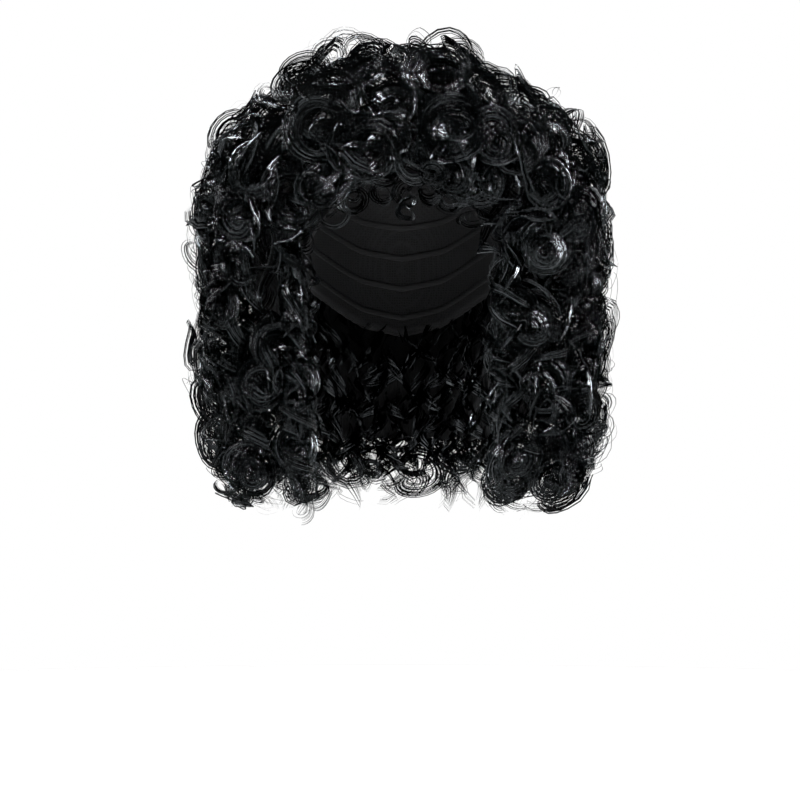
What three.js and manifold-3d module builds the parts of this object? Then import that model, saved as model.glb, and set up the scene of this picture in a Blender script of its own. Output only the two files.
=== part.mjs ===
// A big curly wig as it stands on a head: a net cap, an elastic edge band, and twelve sections of ringlets.
// Millimetres, +Z up. The face looks along -Y, so the wearer's left is +X.
// The origin is inside the top of the cap, where the crown of a head meets it.
import * as THREE from "three";
import { LoftGeometry } from "three/addons/geometries/LoftGeometry.js";
import { mergeVertices } from "three/addons/utils/BufferGeometryUtils.js";
import Module from "manifold-3d";

const wasm = await Module();
wasm.setup();

// The head that the cap fits
const HEAD_HALF_WIDTH = 76;
const HEAD_HALF_LENGTH = 97;
const CROWN_HEIGHT = 112; // from the head's widest level up to its crown
const NECK_HALF_WIDTH = 63;
const NECK_BACK = 62; // from the head's middle back to the nape
const NECK_TOP_DROP = 188; // from the crown down to where the neck is at its full room

// The cap and its band
const CAP_WALL = 1.6;
const BAND_WIDTH = 12;
const BAND_LAP = 1; // how far the band reaches past the cap's edge
const BAND_THICKNESS = 1.4;
const BAND_ROOM = 1; // round the band under the hair
const CLEARANCE = 0.3; // between pieces that touch

// The outline of the hair, measured from the crown and from the head's middle
const HAIR_RISE = 67;
const HAIR_DROP = 308;
const HAIR_HALF_WIDTH = 157;
const HAIR_FRONT = 138;
const HAIR_BACK = 150;

// The opening for the face
const FACE_HALF_WIDTH = 65;
const FRINGE_DROP = 66; // from the crown down to the fringe's lowest curl
const FACE_ARCH = 30; // the height of the arch over the forehead

// The levels where one ring of sections ends and the next begins, below the crown
const CROWN_DROP = 22;
const HANGING_DROP = 120;

// One ringlet: a bundle of hair that winds round its own middle line
const BUNDLE_RADIUS = 13;
const WINDING_RADIUS = 8;
const WINDING_PITCH = 60;
const BACKING_DEPTH = 8; // from the ringlets' middle lines in to the even mass of hair behind them
const PHASE_STEP = 2.4; // radians by which each ringlet starts further round than the one before
const TIP_SHARE = 0.5; // the thickness of a ringlet's two ends, as a share of its bundle's

// Mesh counts and tolerances: where two vertices are one, how far the hair's facets may lie from the
// curls, how small a sliver is collapsed, and how far apart two vertices stay
const MERGE_DISTANCE = 1e-4;
const HAIR_TOLERANCE = 3.1;
const CRUMB_SIZE = 0.08;
const VERTEX_GAP = 0.002;
const SHARE_STEP = 0.01; // of a ringlet's length, to either side of where its direction is taken
const HEAD_COLUMNS = 32;
const HAIR_COLUMNS = 24;
const CAP_ROWS = 6;
const BUNDLE_SIDES = 5;
const STEPS_PER_TURN = 4;

// The cap's edge: how far it reaches down at each azimuth from the face, as a share of CROWN_HEIGHT
const CAP_EDGE = [
  { azimuth: 0, drop: 0.46 }, // front hairline
  { azimuth: 30, drop: 0.52 },
  { azimuth: 60, drop: 0.82 }, // temple
  { azimuth: 86, drop: 1.1 }, // over the ear
  { azimuth: 106, drop: 1.12 },
  { azimuth: 130, drop: 1.24 },
  { azimuth: 155, drop: 1.4 },
  { azimuth: 180, drop: 1.46 }, // nape
];

// The outline at each level, as shares: level of the whole height from the top, side of HAIR_HALF_WIDTH,
// front of HAIR_FRONT and back of HAIR_BACK
const OUTLINE = [
  { level: 0, side: 0.14, front: 0.14, back: 0.14 },
  { level: 0.02, side: 0.3, front: 0.32, back: 0.34 },
  { level: 0.05, side: 0.48, front: 0.5, back: 0.54 },
  { level: 0.09, side: 0.65, front: 0.67, back: 0.7 },
  { level: 0.15, side: 0.81, front: 0.84, back: 0.85 },
  { level: 0.22, side: 0.91, front: 0.95, back: 0.95 },
  { level: 0.33, side: 0.97, front: 1, back: 1 },
  { level: 0.45, side: 1, front: 0.88, back: 1 },
  { level: 0.6, side: 1, front: 0.74, back: 0.98 },
  { level: 0.75, side: 0.99, front: 0.7, back: 0.95 },
  { level: 0.87, side: 0.96, front: 0.66, back: 0.9 },
  { level: 0.95, side: 0.9, front: 0.6, back: 0.83 },
  { level: 1, side: 0.78, front: 0.5, back: 0.7 },
];
const OUTLINE_SQUARENESS = 2.3; // 2 would be an ellipse in plan

// Rows of ringlets: levels where each row starts and ends, and how many stand round the part of the head
// between the two azimuths
const CURL_ROWS = [
  { start: 0, end: 0.1, count: 5, from: 30, to: 390 },
  { start: 0.05, end: 0.24, count: 10, from: 0, to: 360 },
  { start: 0.19, end: 0.46, count: 14, from: 8, to: 368 },
  { start: 0.4, end: 0.74, count: 12, from: 22, to: 338 },
  { start: 0.68, end: 1, count: 12, from: 24, to: 336 },
];

// The sections of hair, each sewn to the cap by itself, between two azimuths of one ring
const SECTIONS = [
  { name: "crown_curls", ring: "crown", from: 0, to: 360 },
  { name: "fringe_curls", ring: "upper", from: -44, to: 44 },
  { name: "left_temple_curls", ring: "upper", from: 44, to: 108 },
  { name: "back_curls", ring: "upper", from: 108, to: 252 },
  { name: "right_temple_curls", ring: "upper", from: 252, to: 316 },
  { name: "left_front_ringlets", ring: "hanging", from: 15, to: 78 },
  { name: "left_side_ringlets", ring: "hanging", from: 78, to: 118 },
  { name: "left_nape_ringlets", ring: "hanging", from: 118, to: 159 },
  { name: "nape_ringlets", ring: "hanging", from: 159, to: 201 },
  { name: "right_nape_ringlets", ring: "hanging", from: 201, to: 242 },
  { name: "right_side_ringlets", ring: "hanging", from: 242, to: 282 },
  { name: "right_front_ringlets", ring: "hanging", from: 282, to: 345 },
];

const radians = THREE.MathUtils.degToRad;
const hairHeight = HAIR_RISE + HAIR_DROP;
const farOutside = 2 * (HAIR_HALF_WIDTH + HAIR_BACK + hairHeight);
const curlRadius = WINDING_RADIUS + BUNDLE_RADIUS;

// A closed geometry as a solid, without the triangles that have no width once its vertices are shared
function solidOf(geometry) {
  const bare = new THREE.BufferGeometry().setIndex(geometry.index);
  bare.setAttribute("position", geometry.getAttribute("position"));
  const merged = mergeVertices(bare, MERGE_DISTANCE);
  const corners = merged.index.array;
  const triVerts = [];
  for (let i = 0; i < corners.length; i += 3) {
    const triangle = corners.subarray(i, i + 3);
    if (new Set(triangle).size === 3) triVerts.push(...triangle);
  }
  const vertProperties = merged.attributes.position.array;
  const mesh = new wasm.Mesh({ numProp: 3, vertProperties, triVerts: new Uint32Array(triVerts) });
  return new wasm.Manifold(mesh);
}

// A solid as a named mesh
function meshOf(name, solid, material) {
  const { vertProperties, triVerts } = solid.getMesh();
  const geometry = new THREE.BufferGeometry();
  geometry.setAttribute("position", new THREE.BufferAttribute(vertProperties, 3));
  geometry.setIndex(new THREE.BufferAttribute(triVerts, 1));
  geometry.computeVertexNormals();
  const mesh = new THREE.Mesh(geometry, material);
  mesh.name = name;
  return mesh;
}

// The largest body of a solid, without the crumbs that a dividing plane cuts off a curl
function mainBody(solid) {
  return solid.decompose().reduce((a, b) => (a.volume() > b.volume() ? a : b));
}

// One body with its slivers collapsed and no two vertices in one place
function cleanBody(solid) {
  const body = mainBody(mainBody(solid).asOriginal().simplify(CRUMB_SIZE));
  const placed = [];
  return body.warp((vertex) => {
    const meets = (other) => Math.hypot(...other.map((value, axis) => value - vertex[axis])) < VERTEX_GAP;
    while (placed.some(meets)) vertex[2] += 2 * VERTEX_GAP;
    placed.push([...vertex]);
  });
}

// A smooth curve through one column of a table
function curveThrough(table, key, column) {
  const keys = table.map((row) => row[key]);
  const curve = new THREE.CubicInterpolant(keys, table.map((row) => row[column]), 1);
  return (value) => curve.evaluate(THREE.MathUtils.clamp(value, keys[0], keys.at(-1)))[0];
}

// A solid that goes round the head, lofted through its profiles: profileAt gives one profile as points,
// from its top down the outside and back up the inside, at an azimuth in degrees
function roundTheHead(columns, profileAt) {
  const profiles = Array.from({ length: columns + 1 }, (_, i) => profileAt((360 * (i % columns)) / columns));
  return solidOf(new LoftGeometry(profiles));
}

const capDrop = curveThrough(CAP_EDGE, "azimuth", "drop");

// A point on the head's form, grown by offset: tilt is the angle down from the crown
function headPoint(azimuth, tilt, offset) {
  const a = radians(azimuth);
  return new THREE.Vector3(
    (HEAD_HALF_WIDTH + offset) * Math.sin(tilt) * Math.sin(a),
    -(HEAD_HALF_LENGTH + offset) * Math.sin(tilt) * Math.cos(a),
    (CROWN_HEIGHT + offset) * Math.cos(tilt) - CROWN_HEIGHT,
  );
}

// The tilt of the cap's edge, or of a line that runs some way above the edge
function edgeTilt(azimuth, above = 0) {
  const fromFace = 180 - Math.abs(180 - azimuth);
  return Math.acos(1 - capDrop(fromFace)) - above / CROWN_HEIGHT;
}

// Points down the head's form from the crown to the cap's edge
function capLine(azimuth, offset) {
  return Array.from({ length: CAP_ROWS + 1 }, (_, row) =>
    headPoint(azimuth, (edgeTilt(azimuth) * row) / CAP_ROWS, offset),
  );
}

function capSolid() {
  return roundTheHead(HEAD_COLUMNS, (azimuth) => [
    ...capLine(azimuth, CAP_WALL),
    ...capLine(azimuth, 0).reverse(),
  ]);
}

// The ring in which the elastic band lies round the cap's edge, with grow on every side
function bandRing(grow) {
  const outer = CAP_WALL + CLEARANCE + BAND_THICKNESS + grow;
  return roundTheHead(HEAD_COLUMNS, (azimuth) => {
    const top = edgeTilt(azimuth, BAND_WIDTH + grow);
    const bottom = edgeTilt(azimuth, -BAND_LAP - grow);
    return [
      headPoint(azimuth, top, outer),
      headPoint(azimuth, bottom, outer),
      headPoint(azimuth, bottom, 0),
      headPoint(azimuth, top, 0),
    ];
  });
}

// All that the head and neck take up inside the hair
function headRoom() {
  const bottom = -HAIR_DROP - HAIR_RISE;
  return roundTheHead(HEAD_COLUMNS, (azimuth) => {
    const a = radians(azimuth);
    const neckPoint = (z) => new THREE.Vector3(NECK_HALF_WIDTH * Math.sin(a), -NECK_BACK * Math.cos(a), z);
    return [
      ...capLine(azimuth, CAP_WALL + CLEARANCE),
      neckPoint(-NECK_TOP_DROP),
      neckPoint(bottom),
      new THREE.Vector3(0, 0, bottom),
    ];
  });
}

// The arched opening from the face forward, down to below the hair
function faceRoom() {
  const arch = new THREE.Shape();
  arch.moveTo(-FACE_HALF_WIDTH, -HAIR_DROP - HAIR_RISE);
  arch.lineTo(FACE_HALF_WIDTH, -HAIR_DROP - HAIR_RISE);
  arch.lineTo(FACE_HALF_WIDTH, -FRINGE_DROP - FACE_ARCH);
  arch.absellipse(0, -FRINGE_DROP - FACE_ARCH, FACE_HALF_WIDTH, FACE_ARCH, 0, Math.PI);
  const options = { depth: farOutside, bevelEnabled: false, curveSegments: 8 };
  return solidOf(new THREE.ExtrudeGeometry(arch, options).rotateX(Math.PI / 2));
}

const sideShare = curveThrough(OUTLINE, "level", "side");
const frontShare = curveThrough(OUTLINE, "level", "front");
const backShare = curveThrough(OUTLINE, "level", "back");

// A point on the hair's outline, drawn in by inset
function outlinePoint(azimuth, level, inset) {
  const a = radians(azimuth);
  const squared = (value) => Math.sign(value) * Math.abs(value) ** (2 / OUTLINE_SQUARENESS);
  const reach = Math.cos(a) > 0 ? HAIR_FRONT * frontShare(level) : HAIR_BACK * backShare(level);
  const side = HAIR_HALF_WIDTH * sideShare(level);
  const drawnIn = (size) => size * (1 - inset / (side + inset));
  return new THREE.Vector3(
    drawnIn(side) * squared(Math.sin(a)),
    -drawnIn(reach) * squared(Math.cos(a)),
    HAIR_RISE - inset - level * (hairHeight - 2 * inset),
  );
}

// The even mass of hair that the ringlets lie on
function hairBacking() {
  return roundTheHead(HAIR_COLUMNS, (azimuth) => {
    const side = OUTLINE.map((row) => outlinePoint(azimuth, row.level, curlRadius + BACKING_DEPTH));
    const onAxis = (point) => new THREE.Vector3(0, 0, point.z);
    return [onAxis(side[0]), ...side, onAxis(side.at(-1))];
  });
}

// One ringlet that hangs along the outline at an azimuth, winding by turn, +1 or -1, from an angle of phase
function ringlet(azimuth, start, end, turn, phase) {
  const rootAt = (share) => outlinePoint(azimuth, THREE.MathUtils.lerp(start, end, share), curlRadius);
  const length = rootAt(0).distanceTo(rootAt(0.5)) + rootAt(0.5).distanceTo(rootAt(1));
  const steps = Math.round((STEPS_PER_TURN * length) / WINDING_PITCH);
  const centreAt = (step) => {
    const share = step / steps;
    const along = rootAt(share + SHARE_STEP).sub(rootAt(share - SHARE_STEP)).normalize();
    const sideways = new THREE.Vector3(0, 0, 1).cross(rootAt(share)).normalize();
    const outward = sideways.clone().cross(along).normalize();
    const angle = phase + (turn * 2 * Math.PI * step) / STEPS_PER_TURN;
    return rootAt(share)
      .addScaledVector(outward, WINDING_RADIUS * Math.cos(angle))
      .addScaledVector(sideways, WINDING_RADIUS * Math.sin(angle));
  };
  const sections = Array.from({ length: steps + 1 }, (_, step) => {
    const centre = centreAt(step);
    const tangent = centreAt(step + 0.5).sub(centreAt(step - 0.5)).normalize();
    const first = new THREE.Vector3(0, 0, 1).cross(rootAt(step / steps)).cross(tangent).normalize();
    const second = tangent.clone().cross(first);
    const radius = BUNDLE_RADIUS * (step === 0 || step === steps ? TIP_SHARE : 1);
    return Array.from({ length: BUNDLE_SIDES }, (_, side) => {
      const angle = (2 * Math.PI * side) / BUNDLE_SIDES;
      return centre
        .clone()
        .addScaledVector(first, radius * Math.cos(angle))
        .addScaledVector(second, radius * Math.sin(angle));
    });
  });
  return solidOf(new LoftGeometry(sections, { capStart: true, capEnd: true }));
}

function allRinglets() {
  return CURL_ROWS.flatMap((row) =>
    Array.from({ length: row.count }, (_, i) => {
      const azimuth = THREE.MathUtils.lerp(row.from, row.to, (i + 0.5) / row.count);
      return ringlet(azimuth, row.start, row.end, i % 2 ? 1 : -1, i * PHASE_STEP);
    }),
  );
}

// The space of one section: a sector between two azimuths and two levels, drawn in by half the clearance
function sectionSpace({ ring, from, to }) {
  const levels = {
    crown: [-CROWN_DROP, farOutside],
    upper: [-HANGING_DROP, -CROWN_DROP],
    hanging: [-farOutside, -HANGING_DROP],
  };
  const [low, high] = levels[ring];
  const bottom = low + CLEARANCE / 2;
  const depth = high - low - CLEARANCE;
  const plan = new THREE.Shape();
  if (to - from === 360) {
    plan.absarc(0, 0, farOutside, 0, 2 * Math.PI);
  } else {
    const direction = (azimuth) => new THREE.Vector2(Math.sin(radians(azimuth)), -Math.cos(radians(azimuth)));
    const middle = (from + to) / 2;
    const tip = direction(middle).multiplyScalar(CLEARANCE / 2 / Math.sin(radians((to - from) / 2)));
    const farPoint = (azimuth) => tip.clone().addScaledVector(direction(azimuth), farOutside);
    plan.setFromPoints([tip, farPoint(from), farPoint(middle), farPoint(to)]);
  }
  const prism = new THREE.ExtrudeGeometry(plan, { depth, bevelEnabled: false });
  return solidOf(prism.translate(0, 0, bottom));
}

const netMaterial = new THREE.MeshStandardMaterial({ color: 0x101112, roughness: 0.85, metalness: 0 });
const bandMaterial = new THREE.MeshStandardMaterial({ color: 0x0b0c0d, roughness: 0.7, metalness: 0 });
const hairMaterial = new THREE.MeshStandardMaterial({ color: 0x0a0b0c, roughness: 0.32, metalness: 0 });

const wig = new THREE.Group();
wig.add(meshOf("cap", capSolid(), netMaterial));

const head = headRoom();
wig.add(meshOf("edge_band", cleanBody(bandRing(0).subtract(head)), bandMaterial));

const room = wasm.Manifold.union([head, bandRing(BAND_ROOM), faceRoom()]);
const curls = wasm.Manifold.union([hairBacking(), ...allRinglets()]).asOriginal().simplify(HAIR_TOLERANCE);
const hair = curls.subtract(room);
for (const section of SECTIONS) {
  const solid = cleanBody(hair.intersect(sectionSpace(section)));
  wig.add(meshOf(section.name, solid, hairMaterial));
}

export default wig;
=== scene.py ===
"""The looks of a big curly wig: ringlets of glossy black fibre on a net cap with an elastic edge band.
Metres, +Z up, the face looks along -Y. The origin is inside the top of the cap."""

import math

import bpy
import numpy as np
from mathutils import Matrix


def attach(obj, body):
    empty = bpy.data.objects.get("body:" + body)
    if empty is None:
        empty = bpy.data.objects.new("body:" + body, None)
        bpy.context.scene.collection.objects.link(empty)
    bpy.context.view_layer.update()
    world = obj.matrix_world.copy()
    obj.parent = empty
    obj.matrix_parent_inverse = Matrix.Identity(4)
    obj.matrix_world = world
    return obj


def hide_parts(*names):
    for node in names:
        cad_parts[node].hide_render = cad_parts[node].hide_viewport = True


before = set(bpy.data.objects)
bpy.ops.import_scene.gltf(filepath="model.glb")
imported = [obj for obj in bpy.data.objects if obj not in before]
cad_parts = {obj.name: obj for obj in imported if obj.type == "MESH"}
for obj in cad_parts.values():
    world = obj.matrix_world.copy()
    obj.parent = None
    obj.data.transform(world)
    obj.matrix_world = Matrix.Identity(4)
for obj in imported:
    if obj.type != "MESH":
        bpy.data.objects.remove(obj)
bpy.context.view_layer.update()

# The dome that the cap is made on, and the hair's outline
DOME_HALF_WIDTH = 0.076
DOME_HALF_LENGTH = 0.097
CROWN_HEIGHT = 0.112
CAP_WALL = 0.0016
BAND_WIDTH = 0.012
BAND_LAP = 0.001
BAND_THICKNESS = 0.0014
CLEARANCE = 0.0003
HAIR_RISE = 0.060
HAIR_DROP = 0.305
HAIR_HALF_WIDTH = 0.157
HAIR_FRONT = 0.138
HAIR_BACK = 0.150
OUTLINE_SQUARENESS = 2.3
FACE_HALF_WIDTH = 0.065
FRINGE_DROP = 0.066
FACE_ARCH = 0.030
HAIR_HEIGHT = HAIR_RISE + HAIR_DROP

# How far down the cap's edge reaches at each azimuth from the face, as a share of CROWN_HEIGHT
CAP_EDGE = {
    "azimuth": [0, 30, 60, 86, 106, 130, 155, 180],
    "drop": [0.46, 0.52, 0.82, 1.10, 1.12, 1.24, 1.40, 1.46],
}

# The outline at each level. Level is a share of the hair's height from its top, and side, front and back are
# shares of the greatest reach that way.
OUTLINE = {
    "level": [0, 0.02, 0.05, 0.09, 0.15, 0.22, 0.33, 0.45, 0.6, 0.75, 0.87, 0.95, 1],
    "side": [0.12, 0.25, 0.43, 0.63, 0.81, 0.91, 0.97, 1, 0.99, 0.98, 0.95, 0.85, 0.69],
    "front": [0.14, 0.32, 0.50, 0.67, 0.84, 0.95, 1, 0.88, 0.73, 0.68, 0.64, 0.58, 0.5],
    "back": [0.14, 0.34, 0.54, 0.70, 0.85, 0.95, 1, 1, 0.98, 0.95, 0.90, 0.83, 0.7],
}

# The room inside the hair at each height: half widths to the side, and to the front and back
INNER_ROOM = {
    "z": [-0.360, -0.188, -0.150, -0.112, -0.080, -0.050, -0.022, -0.010, -0.003, 0.002],
    "side": [0.063, 0.063, 0.072, 0.076, 0.073, 0.063, 0.045, 0.031, 0.017, 0],
    "long": [0.062, 0.062, 0.084, 0.097, 0.093, 0.081, 0.058, 0.040, 0.022, 0],
}

# The pieces of hair: the azimuths and levels that each covers, how many locks of each kind it has, and the
# radius of its rings. A level is a share of the hair's height from its top.
SECTION_ROWS = """
piece                 from   to    top  bottom  ring  wave  loop  ringlet  sweep  radius
crown_curls              0  360  0      0.228     62    50    26        0      0  0.0205
fringe_curls           -44   44  0.228  0.45      28    22     8        0      0  0.0180
left_temple_curls       44  108  0.228  0.5       24    20    12        6      0  0.0185
back_curls             108  252  0.228  0.5       46    38    20       10      0  0.0190
right_temple_curls     252  316  0.228  0.5       24    20    12        6      0  0.0185
left_front_ringlets     15   78  0.5    1          7     8    10       14      8  0.0165
left_side_ringlets      78  118  0.5    1         10     8    12       12      7  0.0170
left_nape_ringlets     118  159  0.5    1          9     8    10       11      6  0.0170
nape_ringlets          159  201  0.5    1          9     8     8       11      6  0.0170
right_nape_ringlets    201  242  0.5    1          9     8    10       11      6  0.0170
right_side_ringlets    242  282  0.5    1         10     8    12       12      7  0.0170
right_front_ringlets   282  345  0.5    1          7     8    10       14      8  0.0165
"""
STRAYS = 18  # in each section
FACE_EDGE_LOCKS = 26  # beside the face, on each side
FIRST_SEED = 11

# How the strands of each kind of lock wind. Pitch is one turn's length along the lock, narrowing the part of
# the radius that its tip loses, spread half the width in which its strands lie side by side, loose how far they
# stray as a share of the radius, width a strand's own, and lie how far they lie round one another instead of
# along the axis.
WINDING_ROWS = """
kind        pitch  narrowing  strands  steps  spread  loose    width   lie
ring       0.0105       0.62       16     45  0.0056  0.028  0.00070  0.95
wave       0.0360       0.30       10     34  0.0054  0.040  0.00090  0.95
loop       0.0185       0.45        8     44  0.0036  0.080  0.00058  0.50
ringlet    0.0320       0.35       13     48  0.0050  0.030  0.00075  0.50
sweep      0.0700       0.45       14     44  0.0062  0.030  0.00080  0.95
stray      0.0300       0.30        2     30  0.0040  0.250  0.00040  0.50
forelock   0.0060       0.35        9     44  0.0024  0.060  0.00060  0.95
whirl      0.0036       0.75       18     58  0.0056  0.035  0.00070  0.95
face_edge  0.0300       0.30       11     34  0.0046  0.050  0.00080  0.95
inner      0.0320       0.20        7     32  0.0052  0.050  0.00130  0.60
"""

# How a section's own locks lie on it. Facing and swing turn their windings, in degrees: facing 0 is a
# corkscrew along the lock, and facing 90 a flat ring, seen from outside at swing 0 and from the side at
# swing 90. Size is a share of the section's radius, and sunk the depth under the outline.
LYING_ROWS = """
kind     facing_from  facing_to  swing_from  swing_to  length  size  sunk_from  sunk_to
ring              68         90           0        32   0.026  1.00     -0.002    0.006
wave               5         50           0        90   0.095  0.62      0.012    0.034
loop              55         90          50        90   0.038  0.80     -0.006    0.003
ringlet            0         35           0        90   0.085  0.82     -0.002    0.010
sweep             62         90           0        40   0.105  0.85     -0.002    0.008
stray             20         90           0        90   0.042  0.70     -0.008    0.003
"""

# Rings of the forelock over the face: middle and radius, seen from the front
FORELOCKS = {
    "x": [-0.016, 0.000, 0.001, 0.020, 0.037, -0.036, -0.050, 0.052],
    "z": [-0.066, -0.069, -0.080, -0.067, -0.072, -0.071, -0.082, -0.083],
    "radius": [0.0100, 0.0080, 0.0075, 0.0090, 0.0090, 0.0110, 0.0100, 0.0100],
}

# Large spiral rings on the front of the hair: middle and radius, seen from the front
WHIRLS = {
    "crown_curls": {
        "x": [-0.059, 0.025, 0.036, 0.068, -0.074, -0.006],
        "z": [-0.021, 0.021, -0.021, -0.027, 0.017, -0.004],
        "radius": [0.0225, 0.0195, 0.0210, 0.0175, 0.0195, 0.0150],
    },
    "left_temple_curls": {"x": [0.105, 0.105], "z": [-0.059, -0.104], "radius": [0.0155, 0.0170]},
    "right_temple_curls": {"x": [-0.106, -0.120], "z": [-0.049, -0.080], "radius": [0.0185, 0.0155]},
    "left_front_ringlets": {
        "x": [0.096, 0.105, 0.085, 0.110, 0.134],
        "z": [-0.159, -0.205, -0.258, -0.274, -0.222],
        "radius": [0.0165, 0.0170, 0.0150, 0.0155, 0.0150],
    },
    "right_front_ringlets": {
        "x": [-0.133, -0.093, -0.104, -0.112, -0.079],
        "z": [-0.145, -0.176, -0.206, -0.268, -0.250],
        "radius": [0.0150, 0.0165, 0.0150, 0.0175, 0.0155],
    },
}

# Where chance puts the locks of a section
GOLDEN_TURN = 0.618034  # of the section's width, from one lock to the next
AZIMUTH_JITTER = 2  # degrees
SIZE_RANGE = (0.65, 1.2)  # times the kind's radius
LENGTH_RANGE = (0.75, 1.3)  # times the kind's length
LEVEL_JITTER = 0.015
TOP_JITTER = 0.02  # for a lock that would start above the top
END_RANGE = (0.98, 1.015)  # the lowest level of a lock's tip
SUNK_POWER = 1.3  # above 1, more locks lie near the outline than deep
BULGE_SHARE = 0.85  # of a winding's radius, that stays inside the outline
LOCK_DEPTH = 0.002  # of every lock
CLUMP_RISE = 0.008
ROOT_DEPTH = 0.008  # by which a lock's root lies deeper
ROOT_SHARE = 0.3  # of its length
PROBE = 0.02  # where the outline's slope is measured: levels to either side, and metres under it
DRIFT = 8  # degrees to one side, for a lock as long as DRIFT_LENGTH
DRIFT_LENGTH = 0.09
BENDS = (3, 6)  # radians of a lock's sideways waves
SWAY = 40  # degrees for each metre of the kind's length
SWEEP_SWAY = (4, 7)  # degrees
SWEEP_BENDS = 1.9  # times as many as in other locks
TOP_RING_TURN = 32  # degrees by which rings on top of the crown stand up
TOP_LEVEL = 0.16  # where the top of the crown ends
SWEEP_TIP_POWER = 1.8  # how close a sweep's steps come together at its tip

# Where locks meet the face's opening, as shares of their radius
TIP_SHARE = 0.7  # above the lowest level
EDGE_SHARE = 0.75  # above the fringe's edge
SIDE_SHARE = 0.9  # beside the opening
FACE_MARGIN = 0.004  # in metres

# How strands lie in their lock
CORE_Y = 0.01  # the line inside the hair that outward is measured from
CORE_TOP = -0.09
TURNS_JITTER = (0.85, 1.2)
TURNS_RANGE = (1.3, 4.2)
TIGHTENING = 0.15  # above 0, a lock winds faster towards its tip
BUNDLE_DEPTH = 0.16  # how far the strands gather into four bundles
PLACE_JITTER = 0.06
ANGLE_JITTER = 0.08
TILT_RANGE = (0.1, 0.5)
RIPPLE = 0.0004
TWIST = 0.5
STRAND_TWIST = 0.12
WIDTH_RANGE = (0.5, 1.4)  # times the kind's width
LEAN = 0.14
NORMAL_TURN = 56  # degrees between a strand's middle and its edge, as on a round fibre
FIBRES_ACROSS = 3.0  # on each strand
FIBRE_SHIFT = 0.37  # of the pattern, from one strand to the next

# The winding's radius along a lock, as shares: at its root, and where along it the radius grows and narrows
SWELLS = {
    "lock": {"root": 0.5, "grows_from": 0, "grows_to": 0.2, "narrows_from": 0.35},
    "sweep": {"root": 0.1, "grows_from": 0.5, "grows_to": 0.85, "narrows_from": 0.8},
}

# The dense hair behind the locks
UNDER_INSET = 0.036  # from the outline in to it
HANGING_INSET = 0.060  # the same below the ears
HANGING_LEVELS = (0.4, 0.6)
UNDER_TOP = 0.0015  # its greatest height
UNDER_GAP = 0.014  # between it and the room inside the hair
TOP_GAP = 0.004  # the same on the crown
TOP_GAP_Z = -0.06
GAP_CHANGE = 0.05  # the height in which one gap becomes the other
UNDER_FACE_GAP = 0.020  # from the face's opening to it
UNDER_FRINGE_RISE = 0.022  # from the fringe's edge up to it
UNDER_THINNEST = 0.004
RIDGE_HEIGHT = 0.003
UNDER_ROWS = 16
CROWN_COLUMNS = 72
COLUMN_DEGREES = 4  # on the other pieces

# The map in which each strand, and each face of the dense hair, has a place of its own for baking
BAKE_MAP = "OFBake"
STRAND_MAP = (0, 0.74)  # the heights in the map
UNDER_MAP = (0.75, 1)
CELL_MARGIN = 0.15

# Linear colours
FIBRE_COLOUR = (0.0070, 0.0077, 0.0082)
UNDER_COLOUR = (0.0062, 0.0066, 0.0070)
SHEEN_TINT = (0.86, 0.94, 1.0)
THREAD_COLOUR = (0.012, 0.0125, 0.014)
HOLE_COLOUR = (0.003, 0.003, 0.0035)
# The elastic's ribs: painted shade in their grooves, painted light on their crests
RIB_GROOVE_PAINTED_SHADE = (0.006, 0.006, 0.007)
RIB_CREST_PAINTED_LIGHT = (0.020, 0.021, 0.023)
PAPER_COLOUR = (0.42, 0.42, 0.42)

# The cap and its band
CAP_RINGS = 40
CAP_COLUMNS = 96
NET_OFFSET = 0.0008  # from the dome out to the net's middle
NET_THICKNESS = 0.0010
WEFT_ROWS = 9
WEFT_END = 0.6  # of a row's distance, from the last row to the edge
WEFT_SIDES = 8
WEFT_HALF_HEIGHT = 0.0024
WEFT_HALF_DEPTH = 0.0005
WEFT_OFFSET = -0.0002
BAND_COLUMNS = 256
BAND_SIDES = 12
BAND_CORNERS = 0.55  # below 1, how square the band's section is
GATHERS = 72
GATHER_HEIGHT = 0.00025
TUBE = 0.1  # how thick the rings are that become wefts and the band: the tube's radius, for a ring of 1

# Studio
FLOOR_Z = -0.56
FLOOR_RADIUS = 1.7
FLOOR_THICKNESS = 0.03
FLOOR_RIM = 0.012
FLOOR_SIDES = 160
FRAME_CENTRE_Z = -0.215
CAMERA_X = -0.0015
CAMERA_DISTANCE = 2.4
FRAME_WIDTH = 0.608
SENSOR_MM = 36
ROOM_LIGHT = 0.09

# Soft lights: place, the point that each aims at on the middle plane, size and power. Left is the camera's.
LIGHT_ROWS = """
light          x     y    z  aim_y  aim_z  width  height  watts
key         -1.3  -1.7  0.8      0  -0.13    0.5     0.5    155
fill         1.5  -1.5  0.3      0  -0.13    0.4     0.8    130
top          0.1   0.1  1.9      0  -0.13    0.9     0.6     16
back         0.3   1.5  1.0    0.3  -0.40    1.6     0.6    105
left_edge   -1.6   0.5  0.2      0  -0.13    0.4     1.4     30
right_edge   1.6   0.5  0.2      0  -0.13    0.4     1.4     30
"""


def table(text):
    """The rows of a written table, as {first column: {column: number}}."""
    columns, *rows = (line.split() for line in text.strip().splitlines())
    return {row[0]: dict(zip(columns[1:], map(float, row[1:]))) for row in rows}


SECTIONS = table(SECTION_ROWS)
WINDING = table(WINDING_ROWS)
LYING = table(LYING_ROWS)


def smooth(value):
    """0 to 1 with level ends."""
    value = np.clip(value, 0, 1)
    return value * value * (3 - 2 * value)


def unit(vectors):
    """Vectors of length one."""
    return vectors / np.maximum(np.linalg.norm(vectors, axis=-1, keepdims=True), 1e-12)


def square_to(vectors, directions):
    """The part of each vector that is square to its direction, at length one."""
    return unit(vectors - (vectors * directions).sum(-1, keepdims=True) * directions)


def signed_power(value, power):
    return np.sign(value) * np.abs(value) ** power


def any_angle(rng, size):
    return rng.uniform(0, 2 * math.pi, size)


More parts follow.
